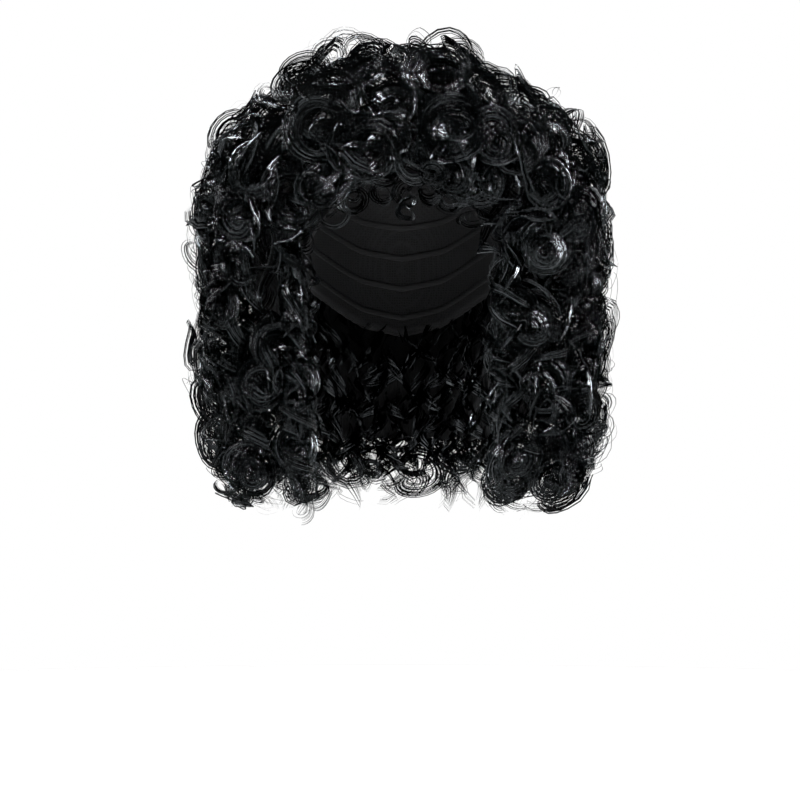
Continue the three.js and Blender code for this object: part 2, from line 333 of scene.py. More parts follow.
def reaches(level):
    """The outline's greatest reach to the side, front and back at each level."""
    ways = (("side", HAIR_HALF_WIDTH), ("front", HAIR_FRONT), ("back", HAIR_BACK))
    return [reach * np.interp(level, OUTLINE["level"], OUTLINE[way]) for way, reach in ways]


def outline_point(azimuth, level, inset):
    """Points on the hair's outline, drawn in by inset. Azimuths are in degrees."""
    a = np.radians(azimuth)
    side, front, back = reaches(level)
    reach = np.where(np.cos(a) > 0, front, back)
    power = 2 / OUTLINE_SQUARENESS
    shrink = 1 - inset / (side + inset)
    x = side * shrink * signed_power(np.sin(a), power)
    y = -reach * shrink * signed_power(np.cos(a), power)
    z = HAIR_RISE - inset - level * (HAIR_HEIGHT - 2 * inset)
    return np.stack(np.broadcast_arrays(x, y, z), axis=-1)


def inner_point(azimuth, z, gap):
    """Points at a gap outside the room inside the hair."""
    a = np.radians(azimuth)
    side = np.interp(z, INNER_ROOM["z"], INNER_ROOM["side"]) + gap
    long = np.interp(z, INNER_ROOM["z"], INNER_ROOM["long"]) + gap
    return np.stack(np.broadcast_arrays(side * np.sin(a), -long * np.cos(a), z), axis=-1)


def cap_edge_drop(azimuth):
    """How far down the cap's edge reaches, as a share of CROWN_HEIGHT."""
    from_face = 180 - np.abs(180 - np.mod(azimuth, 360))
    return np.interp(from_face, CAP_EDGE["azimuth"], CAP_EDGE["drop"])


def face_top(x):
    """The height of the fringe's edge over the face, at each distance to the side."""
    arch = np.sqrt(np.clip(1 - (x / FACE_HALF_WIDTH) ** 2, 0, 1))
    return -FRINGE_DROP - FACE_ARCH * (1 - arch)


def face_side(z):
    """The half width of the face's opening at each height."""
    arch = np.clip((-FRINGE_DROP - z) / FACE_ARCH, 0, 1)
    return FACE_HALF_WIDTH * np.sqrt(1 - (1 - arch) ** 2)


def keep_off_face(points, room):
    """Points moved sideways out of the face's opening, more and more from the fringe's edge down."""
    x, y, z = points[..., 0], points[..., 1], points[..., 2]
    clear = FACE_HALF_WIDTH + room
    push = smooth((-FRINGE_DROP - z) / FACE_ARCH) * (y < 0) * (np.abs(x) < clear)
    moved = points.copy()
    moved[..., 0] = x + (np.where(x < 0, -1.0, 1.0) * clear - x) * push
    return moved


def clumps(azimuth, level):
    """How much the hair bulges here and there, -1 to 1: five and eight bulges round it, slanting."""
    a = np.radians(azimuth)
    return 0.5 * np.sin(5 * a + 21 * level + 1.0) + 0.5 * np.sin(8 * a - 15 * level + 0.4)


def mesh_object(name, points, faces, material):
    """A new object from arrays: points (n, 3) and faces (m, 4)."""
    mesh = bpy.data.meshes.new(name)
    mesh.vertices.add(len(points))
    mesh.vertices.foreach_set("co", points.astype(np.float32).ravel())
    mesh.loops.add(faces.size)
    mesh.loops.foreach_set("vertex_index", faces.astype(np.int32).ravel())
    mesh.polygons.add(len(faces))
    mesh.polygons.foreach_set("loop_start", np.arange(0, faces.size, faces.shape[1], dtype=np.int32))
    mesh.materials.append(material)
    mesh.update(calc_edges=True)
    obj = bpy.data.objects.new(name, mesh)
    bpy.context.scene.collection.objects.link(obj)
    return obj


def own_cells(index, total, inside, heights):
    """Places in a map that gives each of so many shapes a cell of its own, between two heights of the map.
    Inside holds the places in a cell, 0 to 1. The result is (shape, place, 2)."""
    low, high = heights
    columns = math.ceil(math.sqrt(total / (high - low)))
    rows = math.ceil(total / columns)
    cell = np.stack([index % columns, index // columns], axis=-1)[:, None, :]
    spots = (cell + CELL_MARGIN + (1 - 2 * CELL_MARGIN) * inside) / (columns, rows)
    return spots * (1, high - low) + (0, low)


def steps_along(kind):
    """Shares of a lock's length, closer together at the tip of a sweep, where it curls."""
    share = np.linspace(0, 1, int(WINDING[kind]["steps"]))[None, :]
    return 1 - (1 - share) ** SWEEP_TIP_POWER if kind == "sweep" else share


def guide_lines(rng, section, kind, count):
    """Middle lines of a section's locks of one kind, as points (lock, step, 3), with their winding radii,
    facing and swing."""
    form = LYING[kind]
    share = steps_along(kind)
    number = np.arange(count)
    order = (number + 0.5) / count
    around = (number * GOLDEN_TURN + rng.uniform(0, 1)) % 1
    azimuth = section["from"] + (section["to"] - section["from"]) * around
    azimuth = azimuth + rng.uniform(-AZIMUTH_JITTER, AZIMUTH_JITTER, count)
    radius = section["radius"] * form["size"] * rng.uniform(*SIZE_RANGE, count)
    facing = np.radians(rng.uniform(form["facing_from"], form["facing_to"], count))
    swing = np.radians(rng.uniform(form["swing_from"], form["swing_to"], count)) * rng.choice([-1, 1], count)
    middle = section["top"] + (section["bottom"] - section["top"]) * order
    if kind == "ring":
        facing = facing - math.radians(TOP_RING_TURN) * (1 - smooth(middle / TOP_LEVEL))
    # The levels where each lock starts and ends
    low, high = np.maximum(middle - PROBE, 0), np.minimum(middle + PROBE, 1)
    rise = outline_point(azimuth, high, PROBE) - outline_point(azimuth, low, PROBE)
    levels_per_metre = (high - low) / np.linalg.norm(rise, axis=-1)
    length = form["length"] * rng.uniform(*LENGTH_RANGE, count) * levels_per_metre
    start = middle - 0.5 * length + rng.uniform(-LEVEL_JITTER, LEVEL_JITTER, count)
    start = np.where(start < 0, rng.uniform(0, TOP_JITTER, count), start)
    end = start + length
    lowest = rng.uniform(*END_RANGE, count) - TIP_SHARE * radius / HAIR_HEIGHT
    start, end = start - np.maximum(end - lowest, 0), np.minimum(end, lowest)
    # Its depth under the outline
    sunk = form["sunk_from"] + (form["sunk_to"] - form["sunk_from"]) * rng.uniform(0, 1, count) ** SUNK_POWER
    bulge = radius * np.sqrt(1 - (np.sin(facing) * np.cos(swing)) ** 2)
    inset = BULGE_SHARE * bulge + LOCK_DEPTH + sunk - CLUMP_RISE * clumps(azimuth, middle)
    inset = np.maximum(inset, form["sunk_from"])[:, None] + ROOT_DEPTH * (1 - smooth(share / ROOT_SHARE))
    # Its sideways waves
    drift = rng.uniform(-DRIFT, DRIFT, count)[:, None] * share * form["length"] / DRIFT_LENGTH
    bends = rng.uniform(*BENDS, count)[:, None] * share + any_angle(rng, count)[:, None]
    sway = SWAY * form["length"] * np.sin(bends)
    if kind == "sweep":
        sway = rng.uniform(*SWEEP_SWAY, count)[:, None] * np.sin(SWEEP_BENDS * bends)
    line_azimuth = azimuth[:, None] + drift + sway
    # A lock over the face ends at the fringe's edge
    tip = outline_point(line_azimuth[:, -1], end, inset[:, -1])
    edge = face_top(tip[:, 0]) + EDGE_SHARE * radius
    over_face = (np.abs(tip[:, 0]) < FACE_HALF_WIDTH + FACE_MARGIN) & (tip[:, 1] < 0) & (tip[:, 2] < edge)
    raised = (HAIR_RISE - inset[:, -1] - edge) / (HAIR_HEIGHT - 2 * inset[:, -1])
    hanging = section["bottom"] == 1
    lift = np.where(over_face & (not hanging), np.maximum(end - raised, 0), 0)
    start, end = np.maximum(start - lift, 0), end - lift
    level = start[:, None] + (end - start)[:, None] * share
    points = outline_point(line_azimuth, level, inset)
    if hanging:
        points = keep_off_face(points, SIDE_SHARE * radius[:, None])
    return points, radius, facing, swing


def forelocks(rng):
    """Open rings that hang over the face from the fringe's edge, set back a little towards the sides."""
    x, z, radius = (np.array(FORELOCKS[key])[:, None] for key in ("x", "z", "radius"))
    count = len(x)
    share = steps_along("forelock")
    middle_y, set_back, backward, sway, droop = -0.118, 14, 0.006, 0.003, 0.008
    points = np.stack(
        [
            x + sway * np.sin(3 * share + x * 400),
            middle_y + set_back * x**2 + backward * share,
            z + droop * (1 - share) ** 2 + 0 * x,
        ],
        axis=-1,
    )
    facing = np.radians(rng.uniform(74, 90, count))
    return points, radius[:, 0], facing, np.radians(rng.uniform(-15, 15, count))


def whirl_rings(rng, rings):
    """Spiral rings that lie on the front of the hair and lean back a little less than it does."""
    x, z, radius = (np.array(rings[key])[:, None] for key in ("x", "z", "radius"))

    def depth(height):
        """Where the front of the outline is at each ring."""
        side, front, _ = reaches((HAIR_RISE - height) / HAIR_HEIGHT)
        across = np.clip(1 - (np.abs(x) / side) ** OUTLINE_SQUARENESS, 0.02, 1)
        return -front * across ** (1 / OUTLINE_SQUARENESS)

    probe, half_height, back, lean_share, jitter = 0.01, 0.006, 0.001, 0.6, 8
    slope = np.arctan2(depth(z + probe) - depth(z - probe), 2 * probe)
    height = z + half_height - 2 * half_height * steps_along("whirl")
    points = np.stack(np.broadcast_arrays(x, depth(z) + back, height), axis=-1)
    lean = math.pi / 2 + lean_share * slope[:, 0]
    swing = 0.5 * np.arctan2(x, CORE_Y - depth(z))[:, 0]  # halfway to the front
    return points, radius[:, 0], lean, swing + np.radians(rng.uniform(-jitter, jitter, len(x)))


def face_edge_locks(rng, side, count):
    """Ringlets on the edge of the hair beside the face. Side is 1 for the left and -1 for the right."""
    share = steps_along("face_edge")
    radius = rng.uniform(0.007, 0.012, count)
    facing = np.radians(rng.uniform(10, 80, count))
    order = (np.arange(count) + 0.5) / count
    highest, height_span, frontmost, depth_span = -0.075, 0.150, -0.022, 0.062
    top = highest - height_span * ((order * (1 + GOLDEN_TURN) * count) % 1)
    x = FACE_HALF_WIDTH + 0.85 * radius + rng.uniform(0.001, 0.007, count)
    points = np.stack(
        [
            side * (x[:, None] + 0.003 * np.sin(6 * share + top[:, None] * 300)),
            (frontmost - depth_span * order)[:, None] + 0.006 * np.sin(5 * share + x[:, None] * 900),
            top[:, None] - rng.uniform(0.055, 0.075, count)[:, None] * share,
        ],
        axis=-1,
    )
    return points, radius, facing, np.radians(rng.uniform(-90, 90, count))


def inner_locks(rng, section):
    """Ringlets on the inner side, from under the cap's edge down."""
    degrees_apart, below_edge, face_room = 2.6, 0.004, 0.012
    span = section["to"] - section["from"]
    count = int(span / degrees_apart)
    share = steps_along("inner")
    azimuth = section["from"] + span * (np.arange(count) + rng.uniform(0.2, 0.8, count)) / count
    sway = rng.uniform(1, 4, count)[:, None] * np.sin(6 * share + any_angle(rng, count)[:, None])
    top = -CROWN_HEIGHT * cap_edge_drop(azimuth)[:, None] + below_edge
    top = np.minimum(top, -FRINGE_DROP - FACE_ARCH - 0.002)
    bottom = rng.uniform(-0.296, -0.270, count)[:, None]
    radius = rng.uniform(0.0055, 0.0095, count)
    gap = 0.003 + 0.9 * radius[:, None] + rng.uniform(0, 0.006, count)[:, None]
    points = keep_off_face(inner_point(azimuth[:, None] + sway, top + (bottom - top) * share, gap), face_room)
    return points, radius, np.radians(rng.uniform(5, 40, count)), rng.uniform(-1.5, 1.5, count)


def swell(kind, share):
    """The winding's radius along a lock, as a share of its greatest."""
    form = SWELLS.get(kind, SWELLS["lock"])
    grown = smooth((share - form["grows_from"]) / (form["grows_to"] - form["grows_from"]))
    narrowed = smooth((share - form["narrows_from"]) / (1 - form["narrows_from"]))
    return (form["root"] + (1 - form["root"]) * grown) * (1 - WINDING[kind]["narrowing"] * narrowed)


def strands_round(rng, locks, kind):
    """Strands that wind round their locks' middle lines: points, sideways directions and flow, each as
    (strand, step, 3)."""
    form = WINDING[kind]
    guides, radius, facing, swing = locks
    count, spread, loose = int(form["strands"]), form["spread"], form["loose"]
    number = len(guides)
    share = steps_along(kind)
    along = unit(np.gradient(guides, axis=1))
    core = guides * (0, 0, 1) + (0, CORE_Y, 0)
    core[..., 2] = np.minimum(core[..., 2], CORE_TOP)
    outward = square_to(unit(guides - core), along)
    across = np.cross(along, outward)

    def column(values):
        return values[:, None, None]

    axis = column(np.cos(facing)) * along + column(np.sin(facing)) * (
        column(np.cos(swing)) * outward + column(np.sin(swing)) * across
    )
    first = square_to(along + 0.37 * across, axis)  # slanting, so that it is hardly ever the axis's own
    second = np.cross(axis, first)
    length = np.linalg.norm(np.diff(guides, axis=1), axis=-1).sum(1)
    turns = np.clip(length / form["pitch"] * rng.uniform(*TURNS_JITTER, number), *TURNS_RANGE)
    turns = turns * rng.choice([-1, 1], number)
    phase = any_angle(rng, number)
    wound = (share + TIGHTENING * share**3) / (1 + TIGHTENING)
    if kind == "sweep":
        # It hardly winds at first, with its strands side by side, and ends in a ring
        phase = rng.choice([-1, 1], number) * math.pi / 2 + rng.uniform(-0.3, 0.3, number)
        wound = share**4
    angle = phase[:, None] + turns[:, None] * 2 * math.pi * wound

    def per_strand(values):
        return np.repeat(values, count, axis=0)

    total = number * count
    order = np.linspace(-1, 1, count)
    order = order + BUNDLE_DEPTH * np.sin(order * math.pi * 3)
    place = np.tile(order, number) + rng.normal(0, PLACE_JITTER, total)
    closing = 0.5 + 0.5 * np.sin(rng.uniform(2, 5, number)[:, None] * share + phase[:, None]) ** 2
    shift = place[:, None] * spread * per_strand(closing)
    wander = any_angle(rng, (total, 1))
    tilt = per_strand((rng.uniform(*TILT_RANGE, number) + form["lie"] * np.sin(facing))[:, None])
    stray = rng.normal(0, loose, (total, 1)) * (0.4 + share) + 0.3 * loose * np.sin(6 * share + wander)
    r = per_strand(radius[:, None] * swell(kind, share)) * (1 + stray)
    theta = per_strand(angle) + rng.normal(0, ANGLE_JITTER, (total, 1)) * share
    guides, axis, first, second = (per_strand(values) for values in (guides, axis, first, second))
    radial = np.cos(theta)[..., None] * first + np.sin(theta)[..., None] * second

    def band(turn):
        """The direction in which a lock's strands lie side by side."""
        return np.cos(turn)[..., None] * axis + np.sin(turn)[..., None] * radial

    ripple = RIPPLE * np.sin(8 * share + wander)
    points = guides + r[..., None] * radial + shift[..., None] * band(tilt) + ripple[..., None] * axis
    flow = unit(np.gradient(points, axis=1))
    twist = tilt + per_strand(TWIST * np.sin(5 * share + phase[:, None]))
    twist = twist + STRAND_TWIST * np.sin(4 * share + wander)
    return points, square_to(band(twist), flow), flow


def ribbons(points, sideways, flow, width, lean):
    """Each strand as a strip of quads. Its normals turn across it, as on a round fibre, and lean a little
    along it, so that the strands of a lock don't all shine at the same place."""
    strands, steps = points.shape[:2]
    share = np.linspace(0, 1, steps)[None, :, None]
    taper = smooth(share / 0.06 + 0.25) * (1 - 0.85 * smooth((share - 0.75) / 0.25))
    half = 0.5 * width[:, None, None] * taper
    facing = unit(np.cross(flow, sideways) + lean[:, None, None] * flow)
    turn = math.radians(NORMAL_TURN)
    corners = np.stack([points - half * sideways, points + half * sideways], axis=2)
    normals = [facing * math.cos(turn) + way * sideways * math.sin(turn) for way in (-1, 1)]
    row = np.arange(strands)[:, None] * steps * 2 + np.arange(steps - 1)[None, :] * 2
    faces = row.reshape(-1, 1) + np.array([[0, 1, 3, 2]])
    return corners.reshape(-1, 3), faces, np.stack(normals, axis=2).reshape(-1, 3)


def underlayer(name, section, material):
    """The dense hair behind the curls: a body with soft ridges, from the cap out to under the locks."""
    span = section["to"] - section["from"]
    whole = span == 360
    columns = CROWN_COLUMNS if whole else max(10, int(span / COLUMN_DEGREES))
    azimuth = np.linspace(section["from"], section["to"], columns + 1)[None, :]
    level = np.linspace(section["top"], section["bottom"], UNDER_ROWS + 1)[:, None]
    hanging = smooth((level - HANGING_LEVELS[0]) / (HANGING_LEVELS[1] - HANGING_LEVELS[0]))
    depth = UNDER_INSET + (HANGING_INSET - UNDER_INSET) * hanging
    ridge = RIDGE_HEIGHT * np.sin(np.radians(azimuth) * 24 + level * 60) * np.sin(level * 34)
    heights = np.minimum(outline_point(azimuth, level, depth + ridge)[..., 2], UNDER_TOP)
    gap = TOP_GAP + (UNDER_GAP - TOP_GAP) * smooth((TOP_GAP_Z - heights) / GAP_CHANGE)

    def beside_face(widest, power):
        """The azimuths, moved round so that points this wide at azimuth 90 stay clear of the opening."""
        clear = np.where(heights < -FRINGE_DROP, face_side(heights) + UNDER_FACE_GAP, 0)
        low = np.degrees(np.arcsin(np.clip(clear / widest, 0, 1) ** power))
        return np.where(azimuth < 180, np.maximum(azimuth, low), np.minimum(azimuth, 360 - low))

    turned = azimuth, azimuth
    if name != "fringe_curls" and not whole:
        widest = outline_point(90, level, depth)[..., 0], inner_point(90, heights, gap)[..., 0]
        turned = beside_face(widest[0], OUTLINE_SQUARENESS / 2), beside_face(widest[1], 1)
    outer = outline_point(turned[0], level, depth + ridge)
    inner = inner_point(turned[1], heights, gap)
    reach_out = np.linalg.norm(outer[..., :2], axis=-1, keepdims=True)
    reach_in = np.linalg.norm(inner[..., :2], axis=-1, keepdims=True)
    pushed = inner[..., :2] * (1 + UNDER_THINNEST / np.maximum(reach_in, 1e-6))
    outer[..., :2] = np.where(reach_out < reach_in + UNDER_THINNEST, pushed, outer[..., :2])
    if name == "fringe_curls":
        for grid in (outer, inner):
            grid[..., 2] = np.maximum(grid[..., 2], face_top(grid[..., 0]) + UNDER_FRINGE_RISE)
    n = outer[..., 0].size
    index = np.arange(n).reshape(UNDER_ROWS + 1, -1)

    def quads(a, b, c, d):
        return np.stack([a, b, c, d], axis=-1).reshape(-1, 4)

    faces = [
        quads(index[:-1, :-1], index[1:, :-1], index[1:, 1:], index[:-1, 1:]),
        quads(index[:-1, :-1], index[:-1, 1:], index[1:, 1:], index[1:, :-1]) + n,
        quads(index[0, :-1], index[0, 1:], index[0, 1:] + n, index[0, :-1] + n),
        quads(index[-1, 1:], index[-1, :-1], index[-1, :-1] + n, index[-1, 1:] + n),
    ]
    if not whole:
        faces.append(quads(index[1:, 0], index[:-1, 0], index[:-1, 0] + n, index[1:, 0] + n))
        faces.append(quads(index[:-1, -1], index[1:, -1], index[1:, -1] + n, index[:-1, -1] + n))
    points = np.concatenate([outer.reshape(-1, 3), inner.reshape(-1, 3)])
    faces = np.concatenate(faces)
    body = mesh_object(name + "_under", points, faces, material)
    square = np.array([[0, 0], [1, 0], [1, 1], [0, 1]])
    cells = own_cells(np.arange(len(faces)), len(faces), square, UNDER_MAP)
    body.data.uv_layers.new(name=BAKE_MAP).data.foreach_set("uv", cells.astype(np.float32).ravel())
    return body


def new_material(name, roughness, specular=0.5):
    """A new material, with its nodes, links and main shader."""
    material = bpy.data.materials.new(name)
    material.use_nodes = True
    nodes, links = material.node_tree.nodes, material.node_tree.links
    shader = nodes["Principled BSDF"]
    shader.inputs["Roughness"].default_value = roughness
    shader.inputs["Specular IOR Level"].default_value = specular
    return material, nodes, links, shader


def add_relief(material, height, strength, distance, invert=False):
    """Bump from a node's output."""
    nodes, links = material.node_tree.nodes, material.node_tree.links
    bump = nodes.new("ShaderNodeBump")
    bump.invert = invert
    bump.inputs["Strength"].default_value = strength
    bump.inputs["Distance"].default_value = distance
    links.new(height, bump.inputs["Height"])
    links.new(bump.outputs["Normal"], nodes["Principled BSDF"].inputs["Normal"])


def glossy_hair():
    """Glossy black fibre. Its colour is the shade attribute, and fine fibres lie along each strand."""
    material, nodes, links, shader = new_material("glossy_hair", 0.155, 1.0)
    shader.inputs["Base Color"].default_value = (*FIBRE_COLOUR, 1)
    shader.inputs["Specular Tint"].default_value = (*SHEEN_TINT, 1)
    shade = nodes.new("ShaderNodeVertexColor")
    shade.layer_name = "shade"
    links.new(shade.outputs["Color"], shader.inputs["Base Color"])
    place = nodes.new("ShaderNodeUVMap")
    place.uv_map = "fibre"
    wave = nodes.new("ShaderNodeTexWave")
    wave.wave_type = "BANDS"
    wave.bands_direction = "X"
    wave.inputs["Scale"].default_value = 1.0
    wave.inputs["Distortion"].default_value = 2.0
    wave.inputs["Detail"].default_value = 2.0
    links.new(place.outputs["UV"], wave.inputs["Vector"])
    add_relief(material, wave.outputs["Fac"], 0.12, 0.0002)
    return material


def dense_hair():
    """Dense hair in shade: dark, with strands that run down it."""
    material, nodes, links, shader = new_material("underhair", 0.6, 0.08)
    shader.inputs["Base Color"].default_value = (*UNDER_COLOUR, 1)
    place = nodes.new("ShaderNodeTexCoord")
    stretch = nodes.new("ShaderNodeMapping")
    stretch.inputs["Scale"].default_value = (1, 1, 0.12)
    noise = nodes.new("ShaderNodeTexNoise")
    noise.inputs["Scale"].default_value = 420
    noise.inputs["Detail"].default_value = 4
    links.new(place.outputs["Object"], stretch.inputs["Vector"])
    links.new(stretch.outputs["Vector"], noise.inputs["Vector"])
    add_relief(material, noise.outputs["Fac"], 0.6, 0.002)
    return material


def cap_net():
    """Black stretch net: round holes in a fine mesh."""
    material, nodes, links, shader = new_material("cap_net", 0.8)
    place = nodes.new("ShaderNodeTexCoord")
    cells = nodes.new("ShaderNodeTexVoronoi")
    cells.feature = "DISTANCE_TO_EDGE"
    cells.inputs["Scale"].default_value = 520
    cells.inputs["Randomness"].default_value = 0.35
    ramp = nodes.new("ShaderNodeValToRGB")
    thread, hole = ramp.color_ramp.elements
    thread.position, thread.color = 0.05, (*THREAD_COLOUR, 1)
    hole.position, hole.color = 0.28, (*HOLE_COLOUR, 1)
    links.new(place.outputs["Object"], cells.inputs["Vector"])
    links.new(cells.outputs["Distance"], ramp.inputs["Fac"])
    links.new(ramp.outputs["Color"], shader.inputs["Base Color"])
    add_relief(material, cells.outputs["Distance"], 0.7, 0.0006, invert=True)
    return material


def woven_elastic():
    """Black woven elastic: narrow ribs across the band, darker in their grooves as painted shade and paler on
    their crests as painted light.
    """
    material, nodes, links, shader = new_material("woven_elastic", 0.7)
    place = nodes.new("ShaderNodeTexCoord")
    ribs = nodes.new("ShaderNodeTexWave")
    ribs.bands_direction = "Z"
    ribs.inputs["Scale"].default_value = 260
    ribs.inputs["Distortion"].default_value = 1.5
    # The ribs' colour follows their height: painted shade in the grooves, painted light on the crests
    ramp = nodes.new("ShaderNodeValToRGB")
    ramp.color_ramp.elements[0].color = (*RIB_GROOVE_PAINTED_SHADE, 1)
    ramp.color_ramp.elements[1].color = (*RIB_CREST_PAINTED_LIGHT, 1)
    links.new(place.outputs["Object"], ribs.inputs["Vector"])
    links.new(ribs.outputs["Fac"], ramp.inputs["Fac"])
    links.new(ramp.outputs["Color"], shader.inputs["Base Color"])
    add_relief(material, ribs.outputs["Fac"], 0.5, 0.0004)
    return material


def lock_groups(rng, fine, name, section):
    """The locks of a section, as (kind, locks)."""
    kinds = ("ring", "wave", "loop", "ringlet", "sweep")
    groups = [(kind, guide_lines(rng, section, kind, int(section[kind]))) for kind in kinds]
    groups.append(("stray", guide_lines(rng, section, "stray", STRAYS)))
    if name == "fringe_curls":
        groups.append(("forelock", forelocks(rng)))
    if name in WHIRLS:
        groups.append(("whirl", whirl_rings(fine, WHIRLS[name])))
    if section["bottom"] == 1:
        groups.append(("inner", inner_locks(rng, section)))
    if name in ("left_front_ringlets", "right_front_ringlets"):
        side = 1 if name.startswith("left") else -1
        groups.append(("face_edge", face_edge_locks(rng, side, FACE_EDGE_LOCKS)))
    return groups


def strand_shades(rng, locks, per_lock, steps):
    """A colour for each corner of the strands: each lock and each strand a little darker, paler or cooler."""
    strands = locks * per_lock
    dark = np.repeat(rng.uniform(0.75, 1.3, (locks, 1)), per_lock, axis=0)
    dark = dark * rng.uniform(0.55, 1.5, (strands, 1)) * np.linspace(0.85, 1.1, steps)[None, :]
    cool = rng.uniform(-0.12, 0.16, (strands, 1)) + np.zeros((1, steps))
    red, green, blue = FIBRE_COLOUR
    colour = np.stack([red * dark * (1 - cool), green * dark, blue * dark * (1 + cool)], axis=-1)
    return np.repeat(colour[:, :, None, :], 2, axis=2).reshape(-1, 3)


def fibre_places(strands, steps):
    """Each corner's place in the fibre pattern: across its strand, and along it."""
    across = np.tile(np.array([0, FIBRES_ACROSS]), (strands, steps, 1))
    across = across + np.arange(strands)[:, None, None] * FIBRE_SHIFT
    along = np.broadcast_to(np.linspace(0, 1, steps)[None, :, None], across.shape)
    return np.stack([across, along], axis=-1).reshape(-1, 2)


def build_hair(name, section, strand_material, dark_material, seed):
    """One section of hair as one piece: its locks, the ringlets on its inner side and its dense hair."""
    rng, fine = np.random.default_rng(seed), np.random.default_rng(seed + 50)
    groups = lock_groups(rng, fine, name, section)
    corners, faces, normals, shades, fibres, cells = [], [], [], [], [], []
    all_strands = sum(len(locks[1]) * int(WINDING[kind]["strands"]) for kind, locks in groups)
    corners_made, strands_made = 0, 0
    for kind, locks in groups:
        points, sideways, flow = strands_round(rng, locks, kind)
        strands, steps = points.shape[:2]
        width = WINDING[kind]["width"] * rng.uniform(*WIDTH_RANGE, strands)
        lean = fine.normal(0, LEAN, strands)
        new_corners, new_faces, new_normals = ribbons(points, sideways, flow, width, lean)
        corners.append(new_corners)
        faces.append(new_faces + corners_made)
        normals.append(new_normals)
        shades.append(strand_shades(rng, len(locks[1]), int(WINDING[kind]["strands"]), steps))
        fibres.append(fibre_places(strands, steps))
        ladder = np.stack([np.tile([0, 1], steps), np.repeat(np.linspace(0, 1, steps), 2)], axis=-1)
        strand_numbers = strands_made + np.arange(strands)
        cells.append(own_cells(strand_numbers, all_strands, ladder, STRAND_MAP).reshape(-1, 2))
        corners_made += len(new_corners)
        strands_made += strands
    hair = mesh_object(name + "_hair", np.concatenate(corners), np.concatenate(faces), strand_material)
    mesh = hair.data
    mesh.polygons.foreach_set("use_smooth", np.ones(len(mesh.polygons), bool))
    shade = mesh.color_attributes.new("shade", "FLOAT_COLOR", "POINT")
    opaque = np.concatenate([np.concatenate(shades), np.ones((corners_made, 1))], axis=1)
    shade.data.foreach_set("color", opaque.astype(np.float32).ravel())
    corner_vertex = np.zeros(len(mesh.loops), np.int32)
    mesh.loops.foreach_get("vertex_index", corner_vertex)
    for layer, places in (("fibre", fibres), (BAKE_MAP, cells)):
        places = np.concatenate(places)[corner_vertex].astype(np.float32)
        mesh.uv_layers.new(name=layer).data.foreach_set("uv", places.ravel())
    mesh.normals_split_custom_set_from_vertices(np.concatenate(normals).astype(np.float32))
    join_into(hair, [underlayer(name, section, dark_material)])
    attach(hair, "root")
    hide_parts(name)


def join_into(piece, others):
    """Joins objects into a piece, which keeps its name."""
    bpy.ops.object.select_all(action="DESELECT")
    for obj in [*others, piece]:
        obj.select_set(True)
    bpy.context.view_layer.objects.active = piece
    bpy.ops.object.join()


def cap_edge_tilt(azimuth, above=0.0):
    """The angle from straight up to the cap's edge, or to a line above it."""
    return np.arccos(1 - cap_edge_drop(azimuth)) - above / CROWN_HEIGHT


def dome_point(azimuth, tilt, offset):
    """Points on the dome, or outside it by offset."""
    a = np.radians(azimuth)
    x = (DOME_HALF_WIDTH + offset) * np.sin(tilt) * np.sin(a)
    y = -(DOME_HALF_LENGTH + offset) * np.sin(tilt) * np.cos(a)
    z = (CROWN_HEIGHT + offset) * np.cos(tilt) - CROWN_HEIGHT
    return np.stack(np.broadcast_arrays(x, y, z), axis=-1)


def place_vertices(obj, move):
    """Moves an object's vertices by a function from their places to new ones."""
    count = len(obj.data.vertices)
    old = np.zeros(count * 3)
    obj.data.vertices.foreach_get("co", old)
    obj.data.vertices.foreach_set("co", move(old.reshape(-1, 3)).ravel())
    obj.data.update()


def ring_places(old):
    """Where points of a thin ring lie: azimuth in degrees, outward and upward, -1 to 1 across its tube."""
    azimuth = np.degrees(np.arctan2(old[:, 0], -old[:, 1]))
    return azimuth, (np.hypot(old[:, 0], old[:, 1]) - 1) / TUBE, old[:, 2] / TUBE


def weft_row(row, elastic):
    """One row of the weft tape that carries hair, round the inside of the net."""
    bpy.ops.mesh.primitive_torus_add(
        major_segments=CAP_COLUMNS, minor_segments=WEFT_SIDES, major_radius=1, minor_radius=TUBE
    )
    weft = bpy.context.active_object
    share = (row + 1) / (WEFT_ROWS + WEFT_END)

    def into_row(old):
        azimuth, outward, upward = ring_places(old)
        tilt = share * cap_edge_tilt(azimuth) - upward * WEFT_HALF_HEIGHT / CROWN_HEIGHT
        return dome_point(azimuth, tilt, WEFT_OFFSET + WEFT_HALF_DEPTH * outward)

    place_vertices(weft, into_row)
    bpy.ops.object.shade_smooth()
    weft.data.materials.append(elastic)
    return weft


def net_cap(elastic):
    """The dome of net, shaped from a sphere down to the cap's edge, with weft rows sewn inside it."""
    bpy.ops.object.select_all(action="DESELECT")
    bpy.ops.mesh.primitive_uv_sphere_add(segments=CAP_COLUMNS, ring_count=CAP_RINGS * 2, radius=1)
    cap = bpy.context.active_object
    cap.name = "net_cap"
    bpy.ops.object.mode_set(mode="EDIT")
    bpy.ops.mesh.select_all(action="SELECT")
    bpy.ops.mesh.bisect(plane_co=(0, 0, -0.0001), plane_no=(0, 0, -1), clear_outer=True)
    bpy.ops.object.mode_set(mode="OBJECT")

    def onto_dome(old):
        azimuth = np.degrees(np.arctan2(old[:, 0], -old[:, 1]))
        down = np.arccos(np.clip(old[:, 2], -1, 1)) / (math.pi / 2)
        return dome_point(azimuth, np.minimum(down, 1) * cap_edge_tilt(azimuth), NET_OFFSET)

    place_vertices(cap, onto_dome)
    wall = cap.modifiers.new("wall", "SOLIDIFY")
    wall.thickness = NET_THICKNESS
    wall.offset = 0
    bpy.ops.object.modifier_apply(modifier="wall")
    bpy.ops.object.shade_smooth()
    cap.data.materials.append(cap_net())
    join_into(cap, [weft_row(row, elastic) for row in range(WEFT_ROWS)])
    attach(cap, "root")
    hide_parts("cap")


